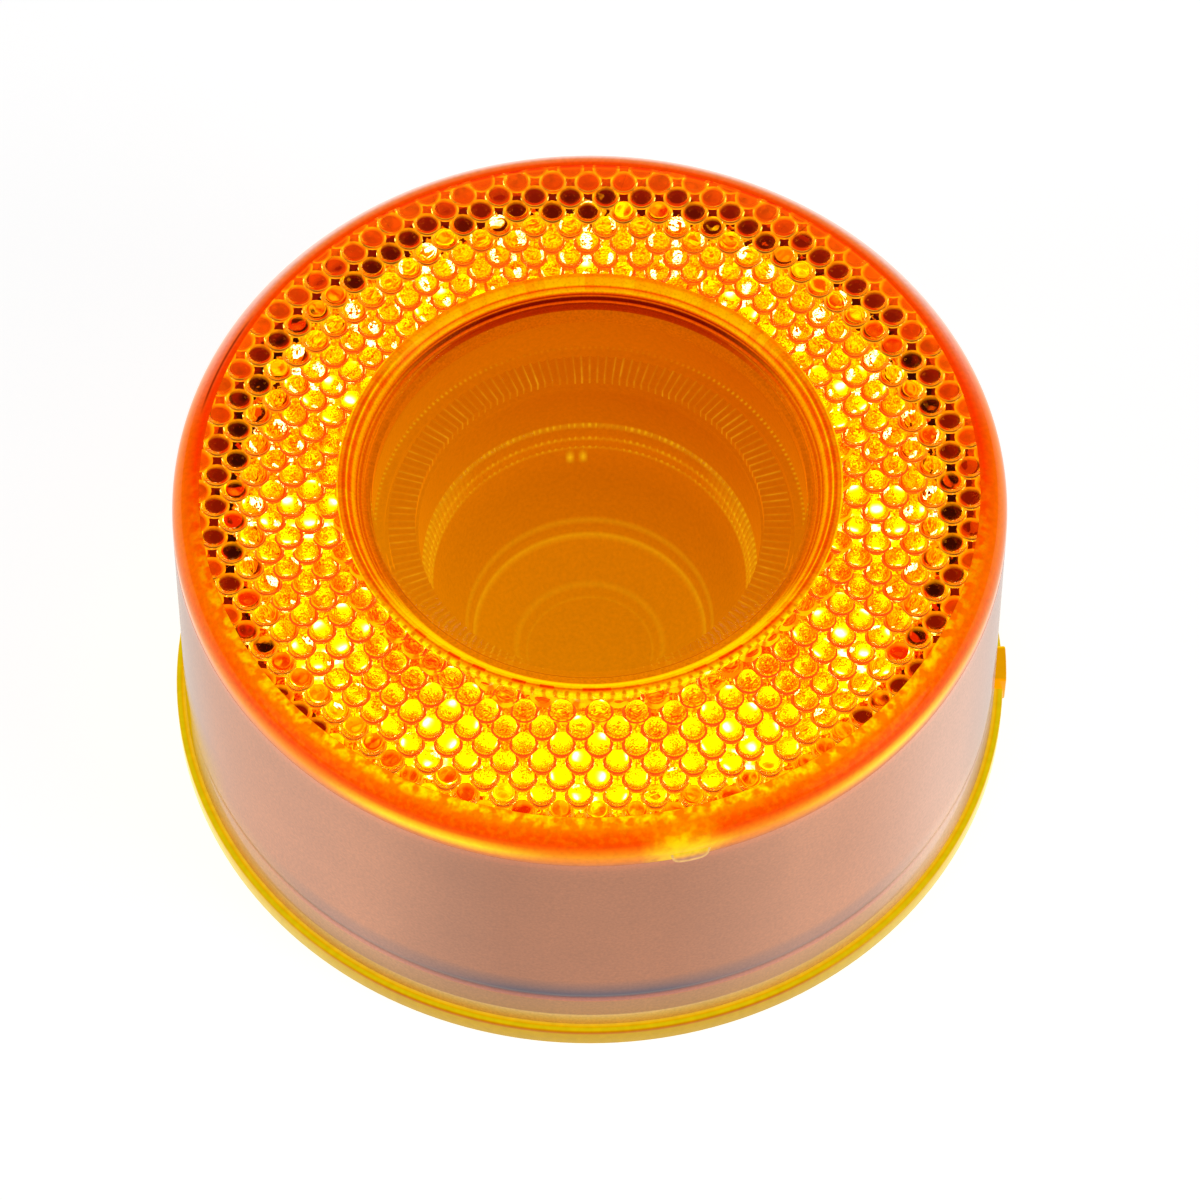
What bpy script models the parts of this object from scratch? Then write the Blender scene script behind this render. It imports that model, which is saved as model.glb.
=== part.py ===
"""A round amber LED marker lamp, 63.5 mm across, lying on its rear face.

The origin is the centre of the rear face, +Z points out through the lens, and the index tab is at +X.
Every piece is turned about Z or placed round it, and the sizes below are in millimetres.
"""

import math

import bmesh
import bpy
from mathutils import Matrix, Vector

MM = 0.001
GAP = 0.3  # clearance between two pieces that touch on the real lamp

# Driving dimensions, in millimetres.
HEIGHT = 28.0
FLANGE_RADIUS = 31.75
FLANGE_HEIGHT = 1.9
WALL_BASE_RADIUS = 31.05
WALL_TOP_RADIUS = 30.7
RIM_START = 25.5  # where the wall begins to round over into the rim
RIM_RADIUS = 28.6  # inner edge of the rounded rim, where the flat face begins
FACE_UNDERSIDE = 26.2
WALL_INNER_TOP = 28.65
WALL_INNER_BASE = 29.0
CONE_RADIUS = 17.9  # the window's countersink, where it meets the face
WINDOW_SEAT_RADIUS = 16.6
WINDOW_TOP = 27.7
WINDOW_BOTTOM = 26.5
LIP_RADIUS = 16.0
LIP_BOTTOM = 25.2
TAB_START = -3.1  # degrees round from +X
TAB_END = 3.5
TAB_RADIUS = 31.95
TAB_BOTTOM = 0.4
TAB_TOP = 3.3

BOARD_BOTTOM = 17.0
BOARD_TOP = 18.6
BOARD_INNER = 14.3
BOARD_OUTER = 27.2
LED_COUNT = 12
LED_CIRCLE = 21.8
LED_SIZE = 3.0
LED_HEIGHT = 1.5

SKIRT_BOTTOM = 6.1
SKIRT_TOP = 25.6
PLATE_BOTTOM = 1.7
PLATE_TOP = 3.2
PLINTH_RADIUS = 28.6
PLINTH_HEIGHT = 5.8
HOUSING_WALL_OUTER = 27.2
HOUSING_WALL_INNER = 25.6
POTTING_RADIUS = 25.4

SOCKET_Y = -20.2
SOCKET_LENGTH = 16.0
SOCKET_WIDTH = 9.0
SOCKET_DEPTH = 11.0
SOCKET_WALL = 1.6
PIN_SPACING = 9.0
PIN_RADIUS = 1.5
PIN_TIP = 1.5

RING_SEGMENTS = 64
SMALL_SEGMENTS = 16


def clear_scene():
    for thing in list(bpy.data.objects):
        bpy.data.objects.remove(thing, do_unlink=True)


def material(name, colour, roughness, metallic=0.0, clear=0.0, glow=0.0):
    finish = bpy.data.materials.new(name)
    finish.use_nodes = True
    shader = finish.node_tree.nodes["Principled BSDF"]
    shader.inputs["Base Color"].default_value = (*colour, 1.0)
    shader.inputs["Roughness"].default_value = roughness
    shader.inputs["Metallic"].default_value = metallic
    shader.inputs["Transmission Weight"].default_value = clear
    shader.inputs["Emission Color"].default_value = (*colour, 1.0)
    shader.inputs["Emission Strength"].default_value = glow
    return finish


def finish_object(name, mesh_builder, surface, place=(0.0, 0.0, 0.0), turn=0.0):
    """Turns a bmesh in millimetres into a named object, placed in millimetres and turned in degrees about Z."""
    bmesh.ops.recalc_face_normals(mesh_builder, faces=mesh_builder.faces)
    bmesh.ops.scale(mesh_builder, vec=(MM, MM, MM), verts=mesh_builder.verts)
    mesh = bpy.data.meshes.new(name)
    mesh_builder.to_mesh(mesh)
    mesh_builder.free()
    mesh.shade_smooth()
    mesh.set_sharp_from_angle(angle=math.radians(35))
    mesh.materials.append(surface)
    thing = bpy.data.objects.new(name, mesh)
    thing.location = Vector(place) * MM
    thing.rotation_euler.z = math.radians(turn)
    bpy.context.collection.objects.link(thing)
    return thing


def turned(name, outline, surface, segments=RING_SEGMENTS, place=(0.0, 0.0, 0.0)):
    """Spins a closed outline of (radius, height) points about Z into one solid."""
    builder = bmesh.new()
    points = [builder.verts.new((radius, 0.0, height)) for radius, height in outline]
    on_axis = outline[0][0] == 0.0 and outline[-1][0] == 0.0
    following = points[1:] if on_axis else points[1:] + points[:1]
    edges = [builder.edges.new(pair) for pair in zip(points, following)]
    bmesh.ops.spin(
        builder,
        geom=points + edges,
        cent=(0.0, 0.0, 0.0),
        axis=(0.0, 0.0, 1.0),
        angle=math.tau,
        steps=segments,
        use_merge=True,
    )
    bmesh.ops.remove_doubles(builder, verts=builder.verts, dist=1e-4)
    return finish_object(name, builder, surface, place)


def extruded(name, outline, bottom, top, surface, place=(0.0, 0.0, 0.0), turn=0.0):
    """Raises a flat outline of (x, y) points from one height to another."""
    builder = bmesh.new()
    floor = builder.faces.new([builder.verts.new((x, y, bottom)) for x, y in outline])
    raised = bmesh.ops.extrude_face_region(builder, geom=[floor])
    lifted = [item for item in raised["geom"] if isinstance(item, bmesh.types.BMVert)]
    bmesh.ops.translate(builder, verts=lifted, vec=(0.0, 0.0, top - bottom))
    return finish_object(name, builder, surface, place, turn)


def box_outline(length, width):
    return [(x * length / 2, y * width / 2) for x, y in ((-1, -1), (1, -1), (1, 1), (-1, 1))]


def stadium_outline(length, width, centre_y, steps=12):
    """The outline of a slot with round ends, long in X."""
    radius = width / 2
    reach = length / 2 - radius
    outline = []
    for side in (1, -1):
        for step in range(steps + 1):
            angle = math.radians(-90) + math.pi * step / steps
            x = side * (reach + radius * math.cos(angle))
            outline.append((x, centre_y + side * radius * math.sin(angle)))
    return outline


def arc_points(centre, across, up, start, end, steps):
    """Points on an elliptical arc about centre, from one angle in degrees to another."""
    points = []
    for step in range(steps + 1):
        angle = math.radians(start + (end - start) * step / steps)
        points.append((centre[0] + across * math.cos(angle), centre[1] + up * math.sin(angle)))
    return points


def hide_as_guide(thing):
    thing.hide_render = True
    thing.display_type = "WIRE"
    return thing


def combine(target, guide, operation):
    """Adds, removes or keeps a guide's volume with a Boolean modifier."""
    step = target.modifiers.new(f"{operation.lower()} {guide.name}", "BOOLEAN")
    step.operation = operation
    step.object = hide_as_guide(guide)
    step.solver = "EXACT"


def round_the_axis(count, radius, first=0.0):
    """Yields (number, angle in degrees, x, y) for pieces spaced evenly round Z."""
    for number in range(count):
        angle = first + 360.0 * number / count
        around = math.radians(angle)
        yield number + 1, angle, radius * math.cos(around), radius * math.sin(around)


def make_lens():
    """The moulded cup: flange, wall, rounded rim, flat face, window countersink and window lip."""
    rim_centre = (RIM_RADIUS, RIM_START)
    rim = arc_points(rim_centre, WALL_TOP_RADIUS - RIM_RADIUS, HEIGHT - RIM_START, 0, 90, 6)
    chamfer = 0.2
    seat = WINDOW_BOTTOM - GAP
    outline = [
        (WALL_INNER_BASE, 0.0),
        (FLANGE_RADIUS - chamfer, 0.0),
        (FLANGE_RADIUS, chamfer),
        (FLANGE_RADIUS, FLANGE_HEIGHT - chamfer),
        (FLANGE_RADIUS - chamfer, FLANGE_HEIGHT),
        (WALL_BASE_RADIUS, FLANGE_HEIGHT),
        *rim,
        (CONE_RADIUS, HEIGHT),
        (WINDOW_SEAT_RADIUS, seat + GAP),
        (WINDOW_SEAT_RADIUS, seat),
        (LIP_RADIUS, seat),
        (LIP_RADIUS, LIP_BOTTOM),
        (CONE_RADIUS, LIP_BOTTOM),
        (CONE_RADIUS + 2 * chamfer, FACE_UNDERSIDE),
        (WALL_INNER_TOP, FACE_UNDERSIDE),
    ]
    amber = material("lens_amber", (0.95, 0.35, 0.02), 0.08, clear=0.6)
    lens = turned("lens", outline, amber)
    tab_arc = [math.radians(TAB_START + (TAB_END - TAB_START) * step / 4) for step in range(5)]
    inner = WALL_BASE_RADIUS - 1.0
    tab_outline = [(inner * math.cos(a), inner * math.sin(a)) for a in tab_arc]
    tab_outline += [(TAB_RADIUS * math.cos(a), TAB_RADIUS * math.sin(a)) for a in reversed(tab_arc)]
    combine(lens, extruded("index_tab", tab_outline, TAB_BOTTOM, TAB_TOP, amber), "UNION")


def make_window():
    """The clear disc that closes the mouth of the tunnel."""
    edge = WINDOW_SEAT_RADIUS - GAP
    bevel = 0.25
    outline = [
        (0.0, WINDOW_BOTTOM),
        (edge - bevel, WINDOW_BOTTOM),
        (edge, WINDOW_BOTTOM + bevel),
        (edge, WINDOW_TOP - bevel),
        (edge - bevel, WINDOW_TOP),
        (0.0, WINDOW_TOP),
    ]
    turned("tunnel_window", outline, material("window_clear", (1.0, 0.75, 0.4), 0.03, clear=0.95))


def make_fluted_ring():
    """The light guide round the mouth of the tunnel, with radial flutes on its top face."""
    inner, outer = 12.9, 14.9
    bottom, top, flute_depth = 21.6, 22.4, 0.25
    ring = turned(
        "fluted_light_ring",
        [(inner, bottom), (outer, bottom), (outer, top), (inner, top)],
        material("light_guide_clear", (1.0, 0.6, 0.15), 0.12, clear=0.7),
        segments=96,
    )
    for vertex in ring.data.vertices:
        spoke = round(math.degrees(math.atan2(vertex.co.y, vertex.co.x)) / 3.75)
        if spoke % 2 and vertex.co.z > (top - flute_depth) * MM:
            vertex.co.z -= flute_depth * MM


def make_tunnel_reflector():
    """The stepped funnel under a short upright collar: each step is smaller and deeper than the last."""
    steps = [(LIP_RADIUS, LIP_BOTTOM - GAP), (LIP_RADIUS, 22.0), (15.2, 22.0), (15.2, 21.3), (12.7, 21.3)]
    steps += [(12.4, 16.6), (11.9, 14.6), (9.3, 8.2), (8.7, 7.0), (5.6, 5.0), (4.8, 4.3)]
    back = [(5.4, 3.5), (6.0, 4.2), (9.2, 6.3), (9.9, 7.6), (12.6, 14.2), (13.2, 16.4)]
    back += [(13.5, 20.5), (16.7, 20.5), (16.7, LIP_BOTTOM - GAP)]
    outline = [(0.0, 4.3), *reversed(steps), *reversed(back), (0.0, 3.5)]
    surface = material("reflector_metallised", (0.85, 0.45, 0.12), 0.3, metallic=0.9)
    turned("tunnel_reflector", outline, surface, segments=48)


def make_led_tray():
    """The reflector ring that lies on the board, with one flared pocket for each LED."""
    bottom, top = BOARD_TOP + GAP, LIP_BOTTOM - GAP
    surface = material("reflector_bright", (0.9, 0.8, 0.6), 0.2, metallic=0.8)
    outline = [(17.1, bottom), (27.5, bottom), (27.5, top), (17.1, top)]
    tray = turned("led_reflector_tray", outline, surface, segments=48)
    margin = 0.5
    for number, _, x, y in round_the_axis(LED_COUNT, LED_CIRCLE):
        flare = [(0.0, bottom - margin), (2.5, bottom - margin), (4.5, top + margin), (0.0, top + margin)]
        guide = turned(f"pocket_guide_{number:02}", flare, surface, segments=16, place=(x, y, 0.0))
        combine(tray, guide, "DIFFERENCE")


def make_leds():
    """Square chip LEDs with chamfered packages, side by side in a ring."""
    surface = material("led_package", (1.0, 0.8, 0.3), 0.4, glow=2.0)
    seat = BOARD_TOP + GAP
    for number, angle, x, y in round_the_axis(LED_COUNT, LED_CIRCLE):
        led = extruded(
            f"led_{number:02}", box_outline(LED_SIZE, LED_SIZE), seat, seat + LED_HEIGHT, surface,
            place=(x, y, 0.0), turn=angle,
        )
        for vertex in led.data.vertices:
            if vertex.co.z > (seat + LED_HEIGHT / 2) * MM:
                vertex.co.x *= 0.85
                vertex.co.y *= 0.85


def make_board():
    """The ring-shaped circuit board."""
    outline = [
        (BOARD_INNER, BOARD_BOTTOM),
        (BOARD_OUTER, BOARD_BOTTOM),
        (BOARD_OUTER, BOARD_TOP),
        (BOARD_INNER, BOARD_TOP),
    ]
    turned("led_board", outline, material("board_green", (0.03, 0.25, 0.1), 0.5))


def make_board_parts():
    """The parts soldered under the board: the resistors, diode, driver and capacitor."""
    ceiling = BOARD_BOTTOM - GAP
    circle = 19.5
    black = material("component_black", (0.03, 0.03, 0.03), 0.5)
    parts = [
        ("resistor_01", 20.0, 4.2, 2.2, 0.9),
        ("resistor_02", 50.0, 4.2, 2.2, 0.9),
        ("resistor_03", 80.0, 4.2, 2.2, 0.9),
        ("reverse_polarity_diode", 115.0, 4.6, 2.8, 2.2),
        ("driver_chip", 150.0, 5.0, 4.0, 1.6),
    ]
    for name, angle, length, width, depth in parts:
        around = math.radians(angle)
        place = (circle * math.cos(around), circle * math.sin(around), 0.0)
        extruded(name, box_outline(width, length), ceiling - depth, ceiling, black, place, angle)
    around = math.radians(190.0)
    place = (circle * math.cos(around), circle * math.sin(around), 0.0)
    can = [(0.0, ceiling - 6.0), (2.4, ceiling - 6.0), (2.8, ceiling - 5.6), (2.8, ceiling), (0.0, ceiling)]
    turned(
        "surge_capacitor", can, material("capacitor_can", (0.6, 0.6, 0.62), 0.3, metallic=0.9),
        segments=SMALL_SEGMENTS, place=place,
    )


def make_side_reflector():
    """The satin metallised skirt that stands inside the clear wall."""
    thickness = 0.8
    top = WALL_INNER_TOP - GAP
    bottom = WALL_INNER_BASE - 1.2 * GAP
    outline = [
        (bottom - thickness, SKIRT_BOTTOM),
        (bottom, SKIRT_BOTTOM),
        (top, SKIRT_TOP),
        (top - thickness, SKIRT_TOP),
    ]
    turned("side_reflector", outline, material("skirt_satin", (0.75, 0.6, 0.5), 0.35, metallic=0.6))


def make_housing():
    """The black base: plinth, board wall, plate, plug socket and the groove for the sealing ring."""
    groove_bottom, groove_top, groove_radius = 2.4, 4.3, 27.2
    outline = [
        (0.0, PLATE_BOTTOM),
        (HOUSING_WALL_INNER + 0.1, PLATE_BOTTOM),
        (HOUSING_WALL_INNER + 0.1, 0.0),
        (PLINTH_RADIUS, 0.0),
        (PLINTH_RADIUS, groove_bottom),
        (groove_radius, groove_bottom),
        (groove_radius, groove_top),
        (PLINTH_RADIUS, groove_top),
        (PLINTH_RADIUS, PLINTH_HEIGHT),
        (HOUSING_WALL_OUTER, PLINTH_HEIGHT),
        (HOUSING_WALL_OUTER, BOARD_BOTTOM - GAP),
        (HOUSING_WALL_INNER, BOARD_BOTTOM - GAP),
        (HOUSING_WALL_INNER, PLATE_TOP),
        (0.0, PLATE_TOP),
    ]
    black = material("housing_black", (0.03, 0.03, 0.032), 0.5)
    housing = turned("housing", outline, black)
    outside = stadium_outline(SOCKET_LENGTH + 2 * SOCKET_WALL, SOCKET_WIDTH + 2 * SOCKET_WALL, SOCKET_Y)
    inside = stadium_outline(SOCKET_LENGTH, SOCKET_WIDTH, SOCKET_Y)
    roof = SOCKET_DEPTH + SOCKET_WALL
    combine(housing, extruded("socket_walls", outside, 0.0, roof, black), "UNION")
    combine(housing, extruded("socket_recess", inside, -1.0, SOCKET_DEPTH, black), "DIFFERENCE")
    hole = PIN_RADIUS + GAP
    for side, x in (("left", -PIN_SPACING / 2), ("right", PIN_SPACING / 2)):
        drill = [(0.0, SOCKET_DEPTH - 1.0), (hole, SOCKET_DEPTH - 1.0), (hole, roof + 1.0), (0.0, roof + 1.0)]
        guide = turned(f"pin_hole_{side}", drill, black, SMALL_SEGMENTS, place=(x, SOCKET_Y, 0.0))
        combine(housing, guide, "DIFFERENCE")


def make_potting():
    """The sealing compound poured over the back of the plate, round the plug socket."""
    surface = material("potting_black", (0.02, 0.02, 0.022), 0.25)
    bottom, top = GAP, PLATE_BOTTOM - GAP
    disc = [(0.0, bottom), (POTTING_RADIUS, bottom), (POTTING_RADIUS, top), (0.0, top)]
    potting = turned("potting", disc, surface, segments=48)
    clear = 2 * (SOCKET_WALL + GAP)
    around_socket = stadium_outline(SOCKET_LENGTH + clear, SOCKET_WIDTH + clear, SOCKET_Y)
    combine(potting, extruded("potting_opening", around_socket, -1.0, PLATE_TOP, surface), "DIFFERENCE")


def make_terminals():
    """The two round contact pins in the socket and the short leads from them to the board."""
    tail_top = 14.2
    shoulder = 0.5
    pin = [
        (0.0, PIN_TIP),
        (PIN_RADIUS - shoulder, PIN_TIP),
        (PIN_RADIUS, PIN_TIP + shoulder),
        (PIN_RADIUS, tail_top),
        (0.0, tail_top),
    ]
    brass = material("terminal_brass", (0.8, 0.6, 0.25), 0.25, metallic=1.0)
    copper = material("lead_sheath", (0.6, 0.05, 0.03), 0.45)
    for side, name in ((-1, "power"), (1, "ground")):
        x = side * PIN_SPACING / 2
        turned(f"terminal_pin_{name}", pin, brass, SMALL_SEGMENTS, place=(x, SOCKET_Y, 0.0))
        wire = [(0.0, tail_top + GAP), (0.7, tail_top + GAP), (0.7, BOARD_BOTTOM - GAP), (0.0, BOARD_BOTTOM - GAP)]
        turned(f"lead_{name}", wire, copper, 8, place=(x, SOCKET_Y, 0.0))


def make_sealing_ring():
    """The round rubber ring in the plinth's groove, which seals against the lens wall."""
    section = 0.55
    centre = (28.1, 3.35)
    outline = arc_points(centre, section, section, 0, 315, 7)
    turned("sealing_ring", outline, material("rubber_black", (0.02, 0.02, 0.02), 0.8))


def main():
    clear_scene()
    make_lens()
    make_window()
    make_fluted_ring()
    make_tunnel_reflector()
    make_led_tray()
    make_leds()
    make_board()
    make_board_parts()
    make_side_reflector()
    make_housing()
    make_potting()
    make_terminals()
    make_sealing_ring()


main()
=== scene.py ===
"""The looks of the amber LED marker lamp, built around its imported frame.

Lengths are in millimetres inside this script and turn into metres when a mesh or a node is made.
The lamp's axis is Z, its face looks up, and its index tab is at +X.
"""

import math

import bmesh
import bpy
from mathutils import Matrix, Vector


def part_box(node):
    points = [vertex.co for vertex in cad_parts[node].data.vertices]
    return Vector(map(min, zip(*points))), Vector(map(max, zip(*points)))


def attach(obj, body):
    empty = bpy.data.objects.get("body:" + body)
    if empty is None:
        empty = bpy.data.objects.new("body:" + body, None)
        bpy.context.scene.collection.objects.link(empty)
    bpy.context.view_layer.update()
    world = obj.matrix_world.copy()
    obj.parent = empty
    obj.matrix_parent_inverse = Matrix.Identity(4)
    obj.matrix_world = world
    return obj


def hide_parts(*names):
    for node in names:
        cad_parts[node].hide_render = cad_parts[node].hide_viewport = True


MM = 0.001
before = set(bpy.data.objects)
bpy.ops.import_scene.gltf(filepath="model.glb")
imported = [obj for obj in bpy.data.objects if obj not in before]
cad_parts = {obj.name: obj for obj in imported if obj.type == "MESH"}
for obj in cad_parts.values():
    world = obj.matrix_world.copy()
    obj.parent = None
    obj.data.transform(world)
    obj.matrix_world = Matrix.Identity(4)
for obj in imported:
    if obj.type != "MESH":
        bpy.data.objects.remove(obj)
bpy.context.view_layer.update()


def sizes_of(node):
    """A node's radius, bottom and top."""
    low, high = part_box(node)
    return high.y / MM, low.z / MM, high.z / MM


# Sizes that the frame gives.
FLANGE_RADIUS, _, HEIGHT = sizes_of("lens")
TAB_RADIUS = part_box("lens")[1].x / MM
WINDOW_EDGE, WINDOW_BOTTOM, _ = sizes_of("tunnel_window")
SKIRT_RADIUS, SKIRT_BOTTOM, SKIRT_TOP = sizes_of("side_reflector")
TRAY_OUTER, TRAY_BOTTOM, _ = sizes_of("led_reflector_tray")
FLUTE_OUTER, FLUTE_BOTTOM, FLUTE_TOP = sizes_of("fluted_light_ring")
FUNNEL_OUTER, FUNNEL_BOTTOM, FUNNEL_TOP = sizes_of("tunnel_reflector")

# Sizes inside the lens, which the frame gives only as one outline.
FLANGE_HEIGHT = 1.9
WALL_BASE = 31.05
WALL_TOP = 30.7
RIM_START = 25.5  # where the wall begins to round over
RIM_LOWEST = 24.75  # where the rim's own glow ends
RIM_INNER = 28.6
FACE_UNDERSIDE = 26.2
COLLAR_OUTER = 18.55  # where the window's plain border meets the beads
CONE_TOP = 17.9
CONE_FOOT = 16.6
SEAT_HEIGHT = 26.2
LIP_RADIUS = 16.0
LIP_BOTTOM = 25.2

# The optic beads: domes under the flat face, on a square lattice that stands on its corner.
BEAD_PITCH = 2.68
BEAD_TURN = math.radians(-0.65)
BEAD_RADIUS = 1.05
BEAD_RISE = 0.55
BEAD_SEAT = FACE_UNDERSIDE + BEAD_RISE
BEAD_PHASE = (-0.42, 0.5)

# The index tab on the flange.
TAB_START = math.radians(-3.5)
TAB_END = math.radians(2.2)

# The moulding gate's trace under the rim.
GATE_ANGLE = math.radians(-76.5)
GATE_HALF = math.radians(2.75)
GATE_TOP = 25.35
GATE_DROP = 1.2

LED_COUNT = 12
LED_CIRCLE = 21.8
LEDGE_INNER = 25.6  # the unlit ledge round the LED ring
LEDGE_OUTER = 26.7
LEDGE_TOP = 24.9
FLUTES = 144
RIBS_FROM = 14.5  # the ribbed step halfway down the tunnel
RIBS_TO = 16.7
FINE = 192  # segments round a turned piece


def wall_radius(level):
    """The wall's radius at a height: it draws in a little towards the rim."""
    share = (level - FLANGE_HEIGHT) / (RIM_START - FLANGE_HEIGHT)
    return WALL_BASE + (WALL_TOP - WALL_BASE) * share


# ---------------------------------------------------------------- meshes

def make_piece(name, builder, look, replaced, smooth_angle=35.0):
    """Turns a bmesh in millimetres into a piece that rides on the lamp and stands for a CAD node."""
    bmesh.ops.scale(builder, vec=(MM, MM, MM), verts=builder.verts)
    mesh = bpy.data.meshes.new(name)
    builder.to_mesh(mesh)
    builder.free()
    mesh.shade_smooth()
    mesh.set_sharp_from_angle(angle=math.radians(smooth_angle))
    mesh.materials.append(look.material)
    piece = bpy.data.objects.new(name, mesh)
    bpy.context.collection.objects.link(piece)
    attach(piece, "root")
    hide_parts(replaced)


def lathe(outline, segments=FINE, shape=None):
    """A closed outline of (radius, height) points turned about Z, anticlockwise outlines facing out.

    shape(radius, height, angle) may return a changed (radius, height), for flutes and ribs.
    """
    builder = bmesh.new()
    rings = []
    for radius, height in outline:
        if radius == 0.0:
            rings.append([builder.verts.new((0.0, 0.0, height))] * segments)
            continue
        ring = []
        for step in range(segments):
            angle = math.tau * step / segments
            r, z = shape(radius, height, angle) if shape else (radius, height)
            ring.append(builder.verts.new((r * math.cos(angle), r * math.sin(angle), z)))
        rings.append(ring)
    on_axis = outline[0][0] == 0.0 and outline[-1][0] == 0.0
    following = rings[1:] if on_axis else rings[1:] + rings[:1]
    for lower, upper in zip(rings, following):
        for step in range(segments):
            after = (step + 1) % segments
            corners = []
            for vertex in (lower[step], lower[after], upper[after], upper[step]):
                if vertex not in corners:
                    corners.append(vertex)
            if len(corners) > 2:
                builder.faces.new(corners)
    return builder


def arc_points(centre, across, up, start, end, steps):
    """Points on an elliptical arc about centre, from one angle in degrees to another."""
    points = []
    for step in range(steps + 1):
        angle = math.radians(start + (end - start) * step / steps)
        points.append((centre[0] + across * math.cos(angle), centre[1] + up * math.sin(angle)))
    return points


# ---------------------------------------------------------------- materials

class Look:
    """A material with one Principled shader and short ways to add the nodes that drive it."""

    def __init__(self, name, **settings):
        self.material = bpy.data.materials.new(name)
        self.material.use_nodes = True
        self.tree = self.material.node_tree
        self.shader = self.tree.nodes["Principled BSDF"]
        for words, value in settings.items():
            socket = self.shader.inputs[words.replace("_", " ").title().replace("Ior", "IOR")]
            socket.default_value = (*value, 1.0) if isinstance(value, tuple) else value
        self.place = self.node("ShaderNodeTexCoord").outputs["Object"]

    def node(self, kind, **settings):
        node = self.tree.nodes.new(kind)
        for name, value in settings.items():
            setattr(node, name, value)
        return node

    def feed(self, value, socket):
        """Joins an output to a socket, or sets a plain number on it."""
        if isinstance(value, (int, float, tuple)):
            socket.default_value = value
        else:
            self.tree.links.new(value, socket)

    def math(self, operation, first, second=0.0):
        node = self.node("ShaderNodeMath", operation=operation)
        for value, socket in zip((first, second), node.inputs):
            self.feed(value, socket)
        return node.outputs[0]

    def add(self, total, *others):
        for other in others:
            total = self.math("ADD", total, other)
        return total

    def times(self, product, *others):
        for other in others:
            product = self.math("MULTIPLY", product, other)
        return product

    def minus(self, first, second):
        return self.math("SUBTRACT", first, second)

    def absolute(self, value):
        return self.math("ABSOLUTE", value)

    def capped(self, value):
        """The value, or 1 where it is more than 1."""
        return self.math("MINIMUM", value, 1.0)

    def axes(self, wanted):
        """The wanted ones of x, y, z, radius and angle on the lamp, lengths in millimetres."""
        split = self.node("ShaderNodeSeparateXYZ")
        self.feed(self.place, split.inputs[0])
        x, y, z = (self.times(output, 1 / MM) for output in split.outputs)
        radius = self.math("SQRT", self.add(self.times(x, x), self.times(y, y)))
        angle = self.math("ARCTAN2", y, x)
        measures = {"x": x, "y": y, "z": z, "radius": radius, "angle": angle}
        return [measures[name] for name in wanted.split()]

    def noise(self, size_mm, detail=3.0, distortion=0.0):
        """Noise from 0 to 1 with features about size_mm across."""
        node = self.node("ShaderNodeTexNoise")
        node.inputs["Scale"].default_value = 1 / (size_mm * MM)
        node.inputs["Detail"].default_value = detail
        node.inputs["Distortion"].default_value = distortion
        self.feed(self.place, node.inputs["Vector"])
        return node.outputs["Fac"]

    def grain(self, size_mm, least, most, spread=0.2, detail=3.0, distortion=0.0):
        """Noise that runs from least to most while the plain noise is within spread of its middle."""
        plain = self.noise(size_mm, detail, distortion)
        return self.between(plain, 0.5 - spread, 0.5 + spread, least, most)

    def between(self, value, low, high, to_low=0.0, to_high=1.0, smooth=False):
        """Maps low..high onto to_low..to_high, and holds the end values outside."""
        node = self.node("ShaderNodeMapRange")
        node.interpolation_type = "SMOOTHSTEP" if smooth else "LINEAR"
        for given, name in ((value, "Value"), (low, "From Min"), (high, "From Max"),
                            (to_low, "To Min"), (to_high, "To Max")):
            self.feed(given, node.inputs[name])
        return node.outputs[0]

    def line(self, value, centre, half_width, strength=1.0):
        """A soft line where value passes centre: strength there, and 0 from half_width on."""
        away = self.absolute(self.minus(value, centre))
        return self.between(away, 0.0, half_width, strength, 0.0)

    def around(self, angle, count, sharp=1.0):
        """A wave of count crests round the axis, from 0 to 1."""
        crest = self.between(self.math("COSINE", self.times(angle, float(count))), -1.0, 1.0)
        return crest if sharp == 1.0 else self.math("POWER", crest, sharp)

    def chance(self, angle, count, seed=0.0):
        """A random number from 0 to 1 for each of count sectors round the axis."""
        sector = self.math("FLOOR", self.times(angle, count / math.tau))
        node = self.node("ShaderNodeTexWhiteNoise", noise_dimensions="1D")
        self.feed(self.add(sector, seed), node.inputs["W"])
        return node.outputs["Value"]

    def ramp(self, value, stops):
        """A colour ramp; stops are (position, (r, g, b)) in linear light."""
        node = self.node("ShaderNodeValToRGB")
        points = node.color_ramp.elements
        while len(points) < len(stops):
            points.new(0.5)
        for point, (position, colour) in zip(points, stops):
            point.position = position
            point.color = (*colour, 1.0)
        self.feed(value, node.inputs["Fac"])
        return node.outputs["Color"]

    def tones(self, value, rows, low=0.0, high=1.0):
        """A ramp over rows of (level, red, green, blue), with the levels on a scale from low to high."""
        stops = [((level - low) / (high - low), srgb(*colour)) for level, *colour in rows]
        return self.ramp(value, stops)

    def blend(self, share, first, second, kind="MIX"):
        """Mixes two colours."""
        node = self.node("ShaderNodeMix", data_type="RGBA", blend_type=kind)
        self.feed(share, node.inputs["Factor"])
        for value, name in ((first, "A"), (second, "B")):
            socket = [s for s in node.inputs if s.name == name and s.type == "RGBA"][0]
            self.feed((*value, 1.0) if isinstance(value, tuple) else value, socket)
        return [s for s in node.outputs if s.type == "RGBA"][0]

    def set(self, name, value):
        self.feed(value, self.shader.inputs[name])

    def glow(self, colour, strength=1.0):
        self.set("Emission Color", colour)
        self.set("Emission Strength", strength)

    def bump(self, height, depth_mm, strength=1.0):
        node = self.node("ShaderNodeBump")
        node.inputs["Distance"].default_value = depth_mm * MM
        node.inputs["Strength"].default_value = strength
        self.feed(height, node.inputs["Height"])
        self.feed(node.outputs[0], self.shader.inputs["Normal"])


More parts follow.
